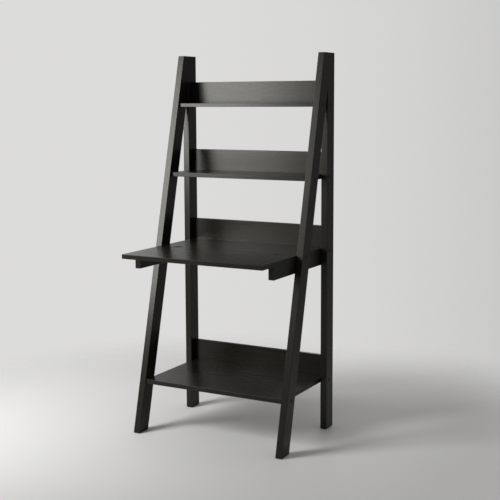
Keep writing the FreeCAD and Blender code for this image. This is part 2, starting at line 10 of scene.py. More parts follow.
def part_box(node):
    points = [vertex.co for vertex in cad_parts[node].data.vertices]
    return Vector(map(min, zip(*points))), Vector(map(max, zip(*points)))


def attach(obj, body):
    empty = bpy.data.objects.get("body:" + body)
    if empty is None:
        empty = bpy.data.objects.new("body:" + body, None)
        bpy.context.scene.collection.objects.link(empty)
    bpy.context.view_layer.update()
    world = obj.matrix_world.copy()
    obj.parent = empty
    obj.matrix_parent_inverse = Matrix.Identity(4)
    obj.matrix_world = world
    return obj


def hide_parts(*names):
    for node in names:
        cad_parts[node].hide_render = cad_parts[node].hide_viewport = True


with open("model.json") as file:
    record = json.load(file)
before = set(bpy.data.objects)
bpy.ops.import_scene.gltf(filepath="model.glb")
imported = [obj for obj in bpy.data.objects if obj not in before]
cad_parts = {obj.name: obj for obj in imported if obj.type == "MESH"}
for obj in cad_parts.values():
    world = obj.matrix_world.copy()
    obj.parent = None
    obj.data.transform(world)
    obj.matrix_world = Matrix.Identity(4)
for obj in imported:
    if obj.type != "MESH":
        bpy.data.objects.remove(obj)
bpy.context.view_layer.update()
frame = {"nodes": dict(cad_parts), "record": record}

# Ladder desk in black wood grain. Lengths are metres unless a comment gives another unit, in the
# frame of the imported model: +X to the right of someone facing the desk, +Y towards the wall
# behind it, +Z up.

MM = 0.001
ACROSS = Vector((1, 0, 0))
BACK = Vector((0, 1, 0))
UP = Vector((0, 0, 1))
DOWN = Vector((0, 0, -1))

# ---- camera ---------------------------------------------------------------------------------

CAMERA_PLACE = Vector((2.0576, -3.5584, 1.3586))
CAMERA_YAW = math.radians(28.733)       # turned left from +Y
CAMERA_PITCH = math.radians(-6.882)
CAMERA_ROLL = math.radians(-0.232)
CAMERA_LENS = 73.95                     # mm
CAMERA_SENSOR = 36.0                    # mm
CAMERA_SHIFT_Y = -0.05                  # share of the frame's width

# ---- lamps: the key at the left front, and two weak fills behind the desk -------------------

KEY_PLACE = Vector((-1.47, -1.70, 1.78))
KEY_AIM = Vector((-1.47, 0.0, 1.78))
KEY_WIDTH = 1.2
KEY_HEIGHT = 1.66
KEY_POWER = 95.0                        # watts
FILL_PLACES = (Vector((-0.2, 2.0, 0.70)), Vector((2.5, 1.6, 0.70)))
FILL_AIMS = (Vector((-0.2, 0.0, 0.70)), Vector((0.0, 0.0, 0.70)))
FILL_WIDTHS = (0.9, 0.8)
FILL_HEIGHT = 1.4
FILL_LEVEL = 3.4                        # watts per square metre of lamp

# ---- world: a backdrop that the camera and reflections show, and soft light on the rest -----

# A sector of the backdrop takes over between two cosines of the angle to its middle.
Sector = namedtuple("Sector", "towards fade level")
BACKDROP_SIDE = 0.45                    # level towards the sides and behind the camera
BACKDROP_PALE = Sector(Vector((-0.7071, 0.7071, 0.0)), (0.72, 1.0), 0.72)   # at the back left
BACKDROP_DIM = Sector(Vector((0.485, 0.875, 0.0)), (0.92, 0.975), 0.12)     # at the back right
UPPER_DARK = Sector(Vector((-0.407, 0.914, 0.0)), (0.970, 0.988), 0.06)     # in the desk top's
UPPER_BRIGHT = Sector(Vector((-0.788, 0.616, 0.0)), (0.93, 0.97), 1.0)      # reflection
UPPER_FROM = (0.098, 0.125)             # sines of the elevations between which those two fade in
BACKDROP_COLOUR = (1.0, 0.995, 0.985, 1.0)
SOFT_LIGHT = 0.27                       # level for rays from matt surfaces

# ---- floor ----------------------------------------------------------------------------------

FLOOR_COLOUR = (0.80, 0.795, 0.78, 1.0)
FLOOR_ROUGHNESS = 0.6
FLOOR_SPECULAR = 0.3
FLOOR_SOLID_RADIUS = 0.95
FLOOR_FADED_RADIUS = 1.9
FLOOR_SIDES = 96
FLOOR_DROP = 0.0002                     # below the feet

# ---- materials ------------------------------------------------------------------------------

# Noise in cycles per metre along three axes; in wood the first lies along the fibres.
Pattern = namedtuple("Pattern", "scale detail roughness")

WOOD_DARK = (0.0062, 0.0056, 0.0034, 1.0)
WOOD_MIDDLE = (0.0090, 0.0083, 0.0052, 1.0)
WOOD_LIGHT = (0.0150, 0.0140, 0.0100, 1.0)
WOOD_EDGE_HIGHLIGHT = (0.028, 0.026, 0.021, 1.0)  # painted highlight along the edges
WOOD_IOR = 1.5
WOOD_SPECULAR = 0.23
SHEEN_COLOUR = (1.0, 0.995, 0.93, 1.0)
WARP = Pattern((2.2, 14, 14), 2.0, 0.5)
WARP_PUSH = (0.0, 0.008, 0.008)         # how far the warp bends the fibres
BANDS = Pattern((1.2, 75, 75), 3.0, 0.55)
FIBRES = Pattern((9, 900, 900), 3.0, 0.6)
PORES = Pattern((55, 1500, 1500), 1.5, 0.5)
PORE_RANGE = (0.60, 0.70)               # noise values between which a pore opens
FIBRE_SHARE = 0.45                      # of the colour's pattern; the bands have the rest
DARK_AT = 0.34                          # where each colour lies in that pattern
MIDDLE_AT = 0.5
LIGHT_AT = 0.68
FIBRE_RANGE = (0.35, 0.65)              # values of the fibres, and the roughness there
FIBRE_ROUGHNESS = (0.30, 0.25)
PORE_ROUGHNESS = 0.12                   # added in pores
PORE_DEPTH = 0.8                        # in heights of a fibre
WOOD_BUMP = 0.1
WOOD_BUMP_DISTANCE = 0.1 * MM
SEED_SHIFT = (1.7, 0.9, 1.3)            # by which each piece's pattern is moved on
# painted highlight along the edges: the radius and samples of the rounding that places it
EDGE_HIGHLIGHT_RADIUS = 1.2 * MM
EDGE_HIGHLIGHT_SAMPLES = 6
EDGE_HIGHLIGHT_RANGE = (0.98, 0.80)          # cosines of a rounding's turn: no painted highlight, and full painted highlight

BROAD = Pattern((90, 90, 90), 2.0, 0.5)     # patterns of plastic, metal and bare wood
FINE = Pattern((1800, 1800, 1800), 2.0, 0.5)
SPECKLE = 0.1                           # share by which the colour varies
BROAD_RANGE = (0.3, 0.7)                # values of the broad pattern,
BROAD_ROUGHNESS = 0.06                  # and how far the roughness varies between them
FINE_BUMP = 0.3
FINE_BUMP_DISTANCE = 0.05 * MM

# ---- wooden pieces --------------------------------------------------------------------------

LEG_EDGE = 1.5 * MM                     # roundings
RAIL_EDGE = 1.5 * MM
BOARD_EDGE = 1.0 * MM
ARRIS = 0.35 * MM                       # every other edge
EDGE_SEGMENTS = 4
LONG_EDGE = 700 * MM                    # a leg's or a post's long edges are longer than this
SMOOTH_BELOW = math.radians(7.5)        # faces at a smaller angle are shaded as one
BORE_REACH = 35 * MM                    # margin within which a hole may touch a piece
BACKBOARD_OF = {"bottom_shelf": "bottom_backboard", "desk_top": "desk_backboard",
                "middle_shelf": "middle_backboard", "top_shelf": "top_backboard"}
BODY_OF = {node: body for body, nodes in frame["record"]["behaviour"]["bodies"].items()
           for node in nodes}

# ---- hardware -------------------------------------------------------------------------------

HARDWARE_SMOOTH_BELOW = math.radians(32)
TURNED_SIDES = 48
SHANK_SIDES = 24
ROUNDING_STEPS = 4
LEAST_COSINE = 1e-6                     # keeps the radius of a bar's outline finite
WELD = 0.001 * MM
SPIN_STEP = 0.7                         # radians by which each recess is turned on from the last
MOUTH = 1.0 * MM                        # how far most holes' tools go on past the hole
PLAY = 0.1 * MM                         # between a shank and its hole
SINK = 0.2 * MM                         # how far a shank reaches into its head
CHAMFER = 0.2 * MM                      # under a head
LEAD_IN = 0.25 * MM                     # chamfer of a socket's or a seat's mouth
POINT = 0.3 * MM                        # diameter of a screw's or a nail's tip
SOCKET_POINT = 0.6 * MM                 # diameter where a socket's drilled floor ends

BOLT_HEAD = 14.0 * MM
BOLT_HEAD_THICKNESS = 2.4 * MM
BOLT_HEAD_ROUNDING = 0.9 * MM
BOLT_HEAD_SUNK = 0.6 * MM               # below the surface of the wood
BOLT_RECESS = 14.6 * MM
BOLT_RECESS_CHAMFER = 0.4 * MM
BOLT_SHANK = 6.0 * MM
BOLT_SHANK_CHAMFER = 0.7 * MM
BOLT_SOCKET = 4.0 * MM                  # across flats
BOLT_SOCKET_DEPTH = 1.8 * MM
BOLT_SOCKET_CONE = 0.3 * MM             # depth of its drilled floor

NUT = 10.0 * MM
NUT_CHAMFER = 0.4 * MM
NUT_SLOT = (8.6 * MM, 1.2 * MM)         # length and width
NUT_SLOT_DEPTH = 1.0 * MM
NUT_HOLE = 10.2 * MM
NUT_MOUTH = 5.0 * MM                    # past the board's face, from a nut that lies below it

DOWEL = 6.0 * MM
APEX_DOWEL = 8.0 * MM
DOWEL_CHAMFER = 0.8 * MM
DOWEL_END_PLAY = 0.3 * MM
DOWEL_FLUTE_DEPTH = 0.15 * MM
DOWEL_FLUTES = 12

SCREW_SHANK = 4.0 * MM
SCREW_HEAD = 7.6 * MM
SCREW_HEAD_HEIGHT = 2.6 * MM
SCREW_HEAD_SINK = 0.1 * MM
SCREW_RIM = ((SCREW_HEAD - 0.3 * MM, -0.25 * MM), (SCREW_HEAD, -0.1 * MM),
             (SCREW_HEAD - 0.2 * MM, 0.0))      # diameters and heights
SCREW_CROSS = (4.4 * MM, 1.1 * MM)      # across the recess, and the width of its arms
SCREW_CROSS_FLOOR = (0.45, 0.8)         # shares of those at its floor
SCREW_CROSS_DEPTH = 2.2 * MM
DESK_SCREW_MOUTH = 60 * MM              # its counterbore runs down through the rail

APEX_HEAD = 10.0 * MM
APEX_HEAD_THICKNESS = 3.0 * MM
APEX_HEAD_ROUNDING = 0.4 * MM
APEX_SOCKET = 5.0 * MM                  # across flats
APEX_SOCKET_DEPTH = 2.2 * MM
APEX_SOCKET_CONE = 0.4 * MM
APEX_SHANK = 6.0 * MM
APEX_POINT = 0.5 * MM
APEX_COUNTERBORE = 10.6 * MM
APEX_COUNTERBORE_DEPTH = 20.0 * MM

GLIDE = 20.0 * MM
GLIDE_TAPER = 0.2 * MM                  # narrower by this where it meets the foot
GLIDE_THICKNESS = 2.0 * MM
GLIDE_ROUNDING = 0.8 * MM
GLIDE_NAIL = 2.4 * MM
GLIDE_NAIL_TAPER = 3.0 * MM             # length of its tip

GROMMET_SIDES = 96
GROMMET_FLANGE = 46.0 * MM
GROMMET_FLANGE_THICKNESS = 1.6 * MM
GROMMET_ROUNDING = 0.6 * MM
GROMMET_BARREL = 40.0 * MM
GROMMET_SEAT = 37.0 * MM
GROMMET_SEAT_DEPTH = 2.2 * MM
GROMMET_BORE = 34.0 * MM
GROMMET_PLAY = 0.3 * MM
GROMMET_THROUGH = 5.0 * MM              # how far its hole's tool goes on below the liner

CAP = 36.5 * MM
CAP_THICKNESS = 2.0 * MM
CAP_EDGE = 0.4 * MM
CAP_EDGE_SEGMENTS = 3
ROUND_PROFILE = 0.5
CAP_SKIRT = 33.8 * MM
CAP_SKIRT_WALL = 1.5 * MM
CAP_FINGERS = 4
CAP_FINGER_STEPS = 16
CAP_SLIT = 2.0 * MM
CABLE_NOTCH = 12.0 * MM
CABLE_NOTCH_FROM_CENTRE = 9.0 * MM
CABLE_NOTCH_STEPS = 24


# ---- node helpers ---------------------------------------------------------------------------

def add(tree, kind, inputs=None, **settings):
    """Adds a shader node; an input is a value, or another node's socket to link from."""
    node = tree.nodes.new("ShaderNode" + kind)
    for key, value in settings.items():
        setattr(node, key, value)
    for key, value in (inputs or {}).items():
        if isinstance(value, bpy.types.NodeSocket):
            tree.links.new(value, node.inputs[key])
        else:
            node.inputs[key].default_value = value
    return node


def new_material(name, inputs):
    """Material with one Principled shader; returns it with its node tree and the shader."""
    material = bpy.data.materials.new(name)
    material.use_nodes = True
    tree = material.node_tree
    tree.nodes.clear()
    shader = add(tree, "BsdfPrincipled", inputs)
    output = add(tree, "OutputMaterial")
    tree.links.new(shader.outputs["BSDF"], output.inputs["Surface"])
    return material, tree, shader


def stretched(tree, vector, scale):
    """The vector times a different scale along each axis."""
    node = add(tree, "VectorMath", {0: vector, 1: scale}, operation="MULTIPLY")
    return node.outputs["Vector"]


def dot(tree, first, second):
    """The dot product of two vectors."""
    node = add(tree, "VectorMath", {0: first, 1: second}, operation="DOT_PRODUCT")
    return node.outputs["Value"]


def noise(tree, vector, pattern):
    """Noise between 0 and 1."""
    node = add(tree, "TexNoise", {
        "Vector": stretched(tree, vector, pattern.scale), "Scale": 1.0,
        "Detail": pattern.detail, "Roughness": pattern.roughness})
    return node.outputs["Fac"]


def spread(tree, value, low, high, to_low=0.0, to_high=1.0):
    """The value between low and high, mapped smoothly to another range."""
    node = add(tree, "MapRange", {
        "Value": value, "From Min": low, "From Max": high, "To Min": to_low, "To Max": to_high},
        interpolation_type="SMOOTHSTEP")
    return node.outputs["Result"]


def mixed(tree, share, first, second):
    """Two numbers mixed by a share."""
    node = add(tree, "Mix", {"Factor": share, "A": first, "B": second})
    return node.outputs["Result"]


def tinted(tree, share, first, second):
    """Two colours mixed by a share."""
    factor, first_socket, second_socket, colour_result = 0, 6, 7, 2
    node = add(tree, "Mix", {factor: share, first_socket: first, second_socket: second},
               data_type="RGBA")
    return node.outputs[colour_result]


def arithmetic(tree, operation, first, second):
    """Two numbers added, subtracted or multiplied."""
    return add(tree, "Math", {0: first, 1: second}, operation=operation).outputs["Value"]


def set_surface(tree, shader, colour, roughness, height, bump, bump_distance):
    """Gives a shader its colour, its roughness and a bump from a pattern of heights."""
    raised = add(tree, "Bump", {"Height": height, "Strength": bump, "Distance": bump_distance})
    tree.links.new(colour, shader.inputs["Base Color"])
    tree.links.new(roughness, shader.inputs["Roughness"])
    tree.links.new(raised.outputs["Normal"], shader.inputs["Normal"])


# ---- materials ------------------------------------------------------------------------------

def edge_mask(tree):
    """Close to 1 along edges and 0 on flat surfaces."""
    soft = add(tree, "Bevel", {"Radius": EDGE_HIGHLIGHT_RADIUS}, samples=EDGE_HIGHLIGHT_SAMPLES)
    hard = add(tree, "NewGeometry")
    turn = dot(tree, soft.outputs["Normal"], hard.outputs["Normal"])
    return spread(tree, turn, *EDGE_HIGHLIGHT_RANGE)


def wood(name, grain, seed):
    """Satin black wood grain; grain is the direction of the fibres, seed shifts the pattern."""
    material, tree, shader = new_material(name, {
        "IOR": WOOD_IOR, "Specular IOR Level": WOOD_SPECULAR, "Specular Tint": SHEEN_COLOUR})
    along = add(tree, "Mapping", {
        "Vector": add(tree, "TexCoord").outputs["Object"],
        "Rotation": grain.rotation_difference(ACROSS).to_euler(),
        "Location": [seed * shift for shift in SEED_SHIFT]}).outputs["Vector"]
    warp = noise(tree, along, WARP)
    push = add(tree, "CombineXYZ", {"Y": warp, "Z": warp}).outputs["Vector"]
    push = stretched(tree, push, WARP_PUSH)
    bent = add(tree, "VectorMath", {0: along, 1: push}, operation="ADD").outputs["Vector"]
    bands = noise(tree, bent, BANDS)
    fibres = noise(tree, bent, FIBRES)
    pores = spread(tree, noise(tree, bent, PORES), *PORE_RANGE)

    ramp = add(tree, "ValToRGB", {"Fac": mixed(tree, FIBRE_SHARE, bands, fibres)})
    stops = ramp.color_ramp.elements
    stops[0].position = DARK_AT
    stops[0].color = WOOD_DARK
    stops[1].position = LIGHT_AT
    stops[1].color = WOOD_LIGHT
    stops.new(MIDDLE_AT).color = WOOD_MIDDLE
    colour = tinted(tree, pores, ramp.outputs["Color"], WOOD_DARK)
    # lighter along the rounded edges: a painted highlight on the arrises
    edge_highlight = arithmetic(tree, "MULTIPLY", edge_mask(tree), fibres)
    colour = tinted(tree, edge_highlight, colour, WOOD_EDGE_HIGHLIGHT)

    rough = spread(tree, fibres, *FIBRE_RANGE, *FIBRE_ROUGHNESS)
    rough = arithmetic(tree, "ADD", rough, arithmetic(tree, "MULTIPLY", pores, PORE_ROUGHNESS))
    depth = arithmetic(tree, "MULTIPLY", pores, PORE_DEPTH)
    height = arithmetic(tree, "SUBTRACT", fibres, depth)
    set_surface(tree, shader, colour, rough, height, WOOD_BUMP, WOOD_BUMP_DISTANCE)
    return material


def plain(name, colour, roughness, metallic=0.0, specular=0.5):
    """Plastic, metal or bare wood with a fine uneven surface."""
    material, tree, shader = new_material(name, {
        "Metallic": metallic, "Specular IOR Level": specular})
    place = add(tree, "TexCoord").outputs["Object"]
    broad = noise(tree, place, BROAD)
    low = [level * (1 - SPECKLE) for level in colour] + [1.0]
    high = [level * (1 + SPECKLE) for level in colour] + [1.0]
    rough = spread(tree, broad, *BROAD_RANGE,
                   roughness - BROAD_ROUGHNESS, roughness + BROAD_ROUGHNESS)
    set_surface(tree, shader, tinted(tree, broad, low, high), rough, noise(tree, place, FINE),
                FINE_BUMP, FINE_BUMP_DISTANCE)
    return material


# ---- mesh helpers ---------------------------------------------------------------------------

def solids(node):
    """Lowest and highest corner of each separate solid in a CAD node."""
    shape = bmesh.new()
    shape.from_mesh(frame["nodes"][node].data)
    bmesh.ops.remove_doubles(shape, verts=shape.verts, dist=WELD)
    unseen = set(shape.verts)
    found = []
    while unseen:
        waiting = [unseen.pop()]
        members = []
        while waiting:
            vertex = waiting.pop()
            members.append(vertex.co.copy())
            near = [edge.other_vert(vertex) for edge in vertex.link_edges]
            fresh = [other for other in near if other in unseen]
            unseen.difference_update(fresh)
            waiting += fresh
        low = Vector([min(point[axis] for point in members) for axis in range(3)])
        high = Vector([max(point[axis] for point in members) for axis in range(3)])
        found.append((low, high))
    shape.free()
    return sorted(found, key=lambda box: tuple(box[0]))


def hexagon(across_flats):
    """Radius at each turn of a six-sided outline."""
    sixth = math.pi / 3
    return lambda turn: across_flats / 2 / math.cos((turn + sixth / 2) % sixth - sixth / 2)


def bar(turn, length, width):
    """Radius at a turn of a straight bar along X."""
    along = abs(math.cos(turn))
    across = abs(math.sin(turn))
    return min(length / 2 / max(along, LEAST_COSINE), width / 2 / max(across, LEAST_COSINE))


def slot(length, width):
    """Radius at each turn of a straight slot."""
    return lambda turn: bar(turn, length, width)


def cross(length, width):
    """Radius at each turn of a cross recess."""
    return lambda turn: max(bar(turn, length, width), bar(turn + math.pi / 2, length, width))


def fluted(diameter, flutes, depth):
    """Radius at each turn of a fluted rod."""
    return lambda turn: diameter / 2 - depth * (1 + math.cos(flutes * turn)) / 2


def turned(mesh, rows, place, sides=TURNED_SIDES, tube=False):
    """Adds a solid about Z, closed at both ends, or a tube whose last row meets its first. Each
    row is a diameter, or a function that gives the radius at a turn, and its height."""
    turns = [2 * math.pi * k / sides for k in range(sides)]
    rings = []
    for shape, height in rows:
        ring = []
        for turn in turns:
            radius = shape(turn) if callable(shape) else shape / 2
            corner = Vector((radius * math.cos(turn), radius * math.sin(turn), height))
            ring.append(mesh.verts.new(place @ corner))
        rings.append(ring)
    next_rings = rings[1:] + rings[:1] if tube else rings[1:]
    for first, second in zip(rings, next_rings):
        for k in range(sides):
            following = (k + 1) % sides
            mesh.faces.new((first[k], first[following], second[following], second[k]))
    if not tube:
        mesh.faces.new(list(reversed(rings[0])))
        mesh.faces.new(rings[-1])


def rounded_rows(diameter, radius):
    """Rows of a quarter round that ends level at the origin."""
    rows = []
    for k in range(ROUNDING_STEPS + 1):
        turn = math.pi / 2 * k / ROUNDING_STEPS
        rim = diameter - 2 * radius * (1 - math.cos(turn))
        rows.append((rim, radius * (math.sin(turn) - 1)))
    return rows


def arc(radius, start, end, steps, centre_y=0.0):
    """Points on an arc about (0, centre_y) between two turns."""
    turns = [start + (end - start) * k / steps for k in range(steps + 1)]
    return [(radius * math.cos(t), centre_y + radius * math.sin(t)) for t in turns]


def slab(mesh, outline, bottom, top, place, edge_radius=0.0):
    """Adds an (x, y) outline raised from bottom to top, with its upper edges rounded."""
    lower = [mesh.verts.new(place @ Vector((x, y, bottom))) for x, y in outline]
    upper = [mesh.verts.new(place @ Vector((x, y, top))) for x, y in outline]
    following = upper[1:] + upper[:1]
    for k, (here, there) in enumerate(zip(upper, following)):
        mesh.faces.new((lower[k], lower[(k + 1) % len(lower)], there, here))
    mesh.faces.new(list(reversed(lower)))
    mesh.faces.new(upper)
    if edge_radius:
        rim = [mesh.edges.get(pair) for pair in zip(upper, following)]
        bmesh.ops.bevel(mesh, geom=rim, offset=edge_radius, segments=CAP_EDGE_SEGMENTS,
                        profile=ROUND_PROFILE, affect="EDGES")


def object_from(mesh, name, smooth_below):
    """Object from a bmesh, shaded smooth where its faces meet at a small angle."""
    data = bpy.data.meshes.new(name)
    mesh.to_mesh(data)
    mesh.free()
    data.shade_smooth()
    data.set_sharp_from_angle(angle=smooth_below)
    made = bpy.data.objects.new(name, data)
    bpy.context.scene.collection.objects.link(made)
    return made


def applied(made):
    """Turns an object's modifiers into its own mesh."""
    graph = bpy.context.evaluated_depsgraph_get()
    data = bpy.data.meshes.new_from_object(made.evaluated_get(graph))
    made.modifiers.clear()
    made.data = data
    data.shade_smooth()
    data.set_sharp_from_angle(angle=SMOOTH_BELOW)


def stands_for(made, node, material):
    """Puts a piece in the place of a CAD node, with its material."""
    made.data.materials.append(material)
    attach(made, BODY_OF[node])
    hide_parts(node)


# ---- hardware and its holes, with the end that shows at the origin and the rest below it ----

def bolt(mesh, place, length):
    """Connector bolt: a flat head with a rounded rim and a hex socket."""
    rows = [(BOLT_HEAD - 2 * CHAMFER, -BOLT_HEAD_THICKNESS),
            (BOLT_HEAD, CHAMFER - BOLT_HEAD_THICKNESS)]
    rows += rounded_rows(BOLT_HEAD, BOLT_HEAD_ROUNDING)
    rows += [(hexagon(BOLT_SOCKET + 2 * LEAD_IN), 0.0),
             (hexagon(BOLT_SOCKET), -LEAD_IN),
             (hexagon(BOLT_SOCKET), -BOLT_SOCKET_DEPTH),
             (SOCKET_POINT, -BOLT_SOCKET_DEPTH - BOLT_SOCKET_CONE)]
    turned(mesh, rows, place)
    turned(mesh, [(BOLT_SHANK - 2 * BOLT_SHANK_CHAMFER, -length),
                  (BOLT_SHANK, BOLT_SHANK_CHAMFER - length),
                  (BOLT_SHANK, SINK - BOLT_HEAD_THICKNESS)], place, SHANK_SIDES)


def bolt_hole(mesh, place, length):
    """Hole with a recess for the head, chamfered at the surface."""
    mouth = BOLT_RECESS + 2 * BOLT_RECESS_CHAMFER
    turned(mesh, [(BOLT_SHANK + 2 * PLAY, -length - PLAY),
                  (BOLT_SHANK + 2 * PLAY, -BOLT_HEAD_THICKNESS),
                  (BOLT_RECESS, -BOLT_HEAD_THICKNESS),
                  (BOLT_RECESS, BOLT_HEAD_SUNK - BOLT_RECESS_CHAMFER),
                  (mouth, BOLT_HEAD_SUNK + PLAY),
                  (mouth, MOUTH)], place)


def barrel_nut(mesh, place, length):
    """Cross dowel nut with a driver slot in the end that shows."""
    rows = [(NUT - 2 * NUT_CHAMFER, -length), (NUT, NUT_CHAMFER - length)]
    rows += rounded_rows(NUT, NUT_CHAMFER)
    rows += [(slot(*NUT_SLOT), 0.0), (slot(*NUT_SLOT), -NUT_SLOT_DEPTH)]
    turned(mesh, rows, place)


def barrel_nut_hole(mesh, place, length):
    """Straight hole from the board's face."""
    turned(mesh, [(NUT_HOLE, -length - PLAY), (NUT_HOLE, NUT_MOUTH)], place)


def dowel(diameter):
    """Maker of fluted dowels with chamfered ends."""
    body = fluted(diameter, DOWEL_FLUTES, DOWEL_FLUTE_DEPTH)
    end = diameter - 2 * DOWEL_CHAMFER

    def make(mesh, place, length):
        turned(mesh, [(end, -length), (body, DOWEL_CHAMFER - length),
                      (body, -DOWEL_CHAMFER), (end, 0.0)], place)
    return make


def dowel_hole(diameter):
    """Maker of the holes for those dowels."""
    def make(mesh, place, length):
        turned(mesh, [(diameter + PLAY, -length - DOWEL_END_PLAY),
                      (diameter + PLAY, DOWEL_END_PLAY)], place)
    return make


def wood_screw(mesh, place, length):
    """Countersunk screw with a cross recess and a pointed tip."""
    floor = [size * share for size, share in zip(SCREW_CROSS, SCREW_CROSS_FLOOR)]
    turned(mesh, [(SCREW_SHANK, -SCREW_HEAD_HEIGHT), *SCREW_RIM,
                  (cross(*SCREW_CROSS), 0.0), (cross(*floor), -SCREW_CROSS_DEPTH)], place)
    turned(mesh, [(POINT, -length), (SCREW_SHANK, SCREW_SHANK - length),
                  (SCREW_SHANK, SCREW_HEAD_SINK - SCREW_HEAD_HEIGHT)], place, SHANK_SIDES)


def screw_hole(mouth, sides):
    """Maker of countersunk holes whose tool stands out of them by the mouth."""
    def make(mesh, place, length):
        turned(mesh, [(SCREW_SHANK + PLAY, -length - PLAY),
                      (SCREW_SHANK + PLAY, -SCREW_HEAD_HEIGHT),
                      (SCREW_HEAD + PLAY, 0.0),
                      (SCREW_HEAD + PLAY, mouth)], place, sides)
    return make


def apex_screw(mesh, place, length):
    """Cylinder-headed screw with a hex socket."""
    rows = [(APEX_HEAD - 2 * CHAMFER, -APEX_HEAD_THICKNESS),
            (APEX_HEAD, CHAMFER - APEX_HEAD_THICKNESS)]
    rows += rounded_rows(APEX_HEAD, APEX_HEAD_ROUNDING)
    rows += [(hexagon(APEX_SOCKET), 0.0),
             (hexagon(APEX_SOCKET), -APEX_SOCKET_DEPTH),
             (SOCKET_POINT, -APEX_SOCKET_DEPTH - APEX_SOCKET_CONE)]
    turned(mesh, rows, place)
    turned(mesh, [(APEX_POINT, -length), (APEX_SHANK, APEX_SHANK - length),
                  (APEX_SHANK, SINK - APEX_HEAD_THICKNESS)], place, SHANK_SIDES)


def apex_screw_hole(mesh, place, length):
    """Hole with a deep counterbore for the head."""
    turned(mesh, [(APEX_SHANK + PLAY, -length - PLAY),
                  (APEX_SHANK + PLAY, -APEX_HEAD_THICKNESS),
                  (APEX_COUNTERBORE, -APEX_HEAD_THICKNESS),
                  (APEX_COUNTERBORE, APEX_COUNTERBORE_DEPTH)], place)


def floor_glide(mesh, place, length):
    """Rounded foot disc with its nail; the origin is on the floor."""
    rows = [(GLIDE - GLIDE_TAPER, -GLIDE_THICKNESS)] + rounded_rows(GLIDE, GLIDE_ROUNDING)
    turned(mesh, rows, place)
    turned(mesh, [(POINT, -length), (GLIDE_NAIL, GLIDE_NAIL_TAPER - length),
                  (GLIDE_NAIL, SINK - GLIDE_THICKNESS)], place, SHANK_SIDES)


def floor_glide_hole(mesh, place, length):
    """Straight hole for the nail."""
    turned(mesh, [(GLIDE_NAIL + PLAY, -length - PLAY),
                  (GLIDE_NAIL + PLAY, MOUTH - GLIDE_THICKNESS)], place, SHANK_SIDES)


def grommet_liner(mesh, place, length):
    """Sleeve with a flange and a ledge inside that carries the cap."""
    rows = [(GROMMET_BARREL, -length),
            (GROMMET_BARREL, -GROMMET_FLANGE_THICKNESS),
            (GROMMET_FLANGE, -GROMMET_FLANGE_THICKNESS)]
    rows += rounded_rows(GROMMET_FLANGE, GROMMET_ROUNDING)
    rows += [(GROMMET_SEAT + 2 * LEAD_IN, 0.0),
             (GROMMET_SEAT, -LEAD_IN),
             (GROMMET_SEAT, -GROMMET_SEAT_DEPTH),
             (GROMMET_BORE, -GROMMET_SEAT_DEPTH),
             (GROMMET_BORE, -length)]
    turned(mesh, rows, place, GROMMET_SIDES, tube=True)


def grommet_hole(mesh, place, length):
    """Hole through the desk top with a recess for the flange."""
    barrel = GROMMET_BARREL + GROMMET_PLAY
    flange = GROMMET_FLANGE + GROMMET_PLAY
    turned(mesh, [(barrel, -length - GROMMET_THROUGH),
                  (barrel, -GROMMET_FLANGE_THICKNESS),
                  (flange, -GROMMET_FLANGE_THICKNESS),
                  (flange, MOUTH)], place, GROMMET_SIDES)


def grommet_cap(mesh, place, length):
    """Disc with a cable notch towards the wall, on a skirt with slits."""
    rim = CAP / 2
    notch = CABLE_NOTCH / 2
    quarter = math.pi / 2
    open_half = math.asin(notch / rim)
    outline = arc(rim, quarter + open_half, 5 * quarter - open_half, GROMMET_SIDES)
    outline += arc(notch, 0.0, -math.pi, CABLE_NOTCH_STEPS, CABLE_NOTCH_FROM_CENTRE + notch)
    slab(mesh, outline, -CAP_THICKNESS, 0.0, place, CAP_EDGE)
    outside = CAP_SKIRT / 2
    inside = outside - CAP_SKIRT_WALL
    notch_half = math.asin(notch / outside)
    slit_half = math.asin(CAP_SLIT / 2 / outside)
    for k in range(CAP_FINGERS):
        start = quarter * (k + 1) + (slit_half if k else notch_half)
        end = quarter * (k + 2) - (slit_half if k + 1 < CAP_FINGERS else notch_half)
        outline = arc(outside, start, end, CAP_FINGER_STEPS)
        outline += arc(inside, end, start, CAP_FINGER_STEPS)
        slab(mesh, outline, -length, CAP_EDGE - CAP_THICKNESS, place)


# ---- which hardware stands for which CAD nodes ----------------------------------------------

def outward(low, high):
    """Away from the desk's middle."""
    return Vector((math.copysign(1.0, low.x + high.x), 0, 0))


def inward(low, high):
    """Towards the desk's middle."""
    return -outward(low, high)


# The ending of the nodes' names, where the end that shows faces, makers of the piece and of its
# hole, and the material.
Kind = namedtuple("Kind", "ending towards make bore material")


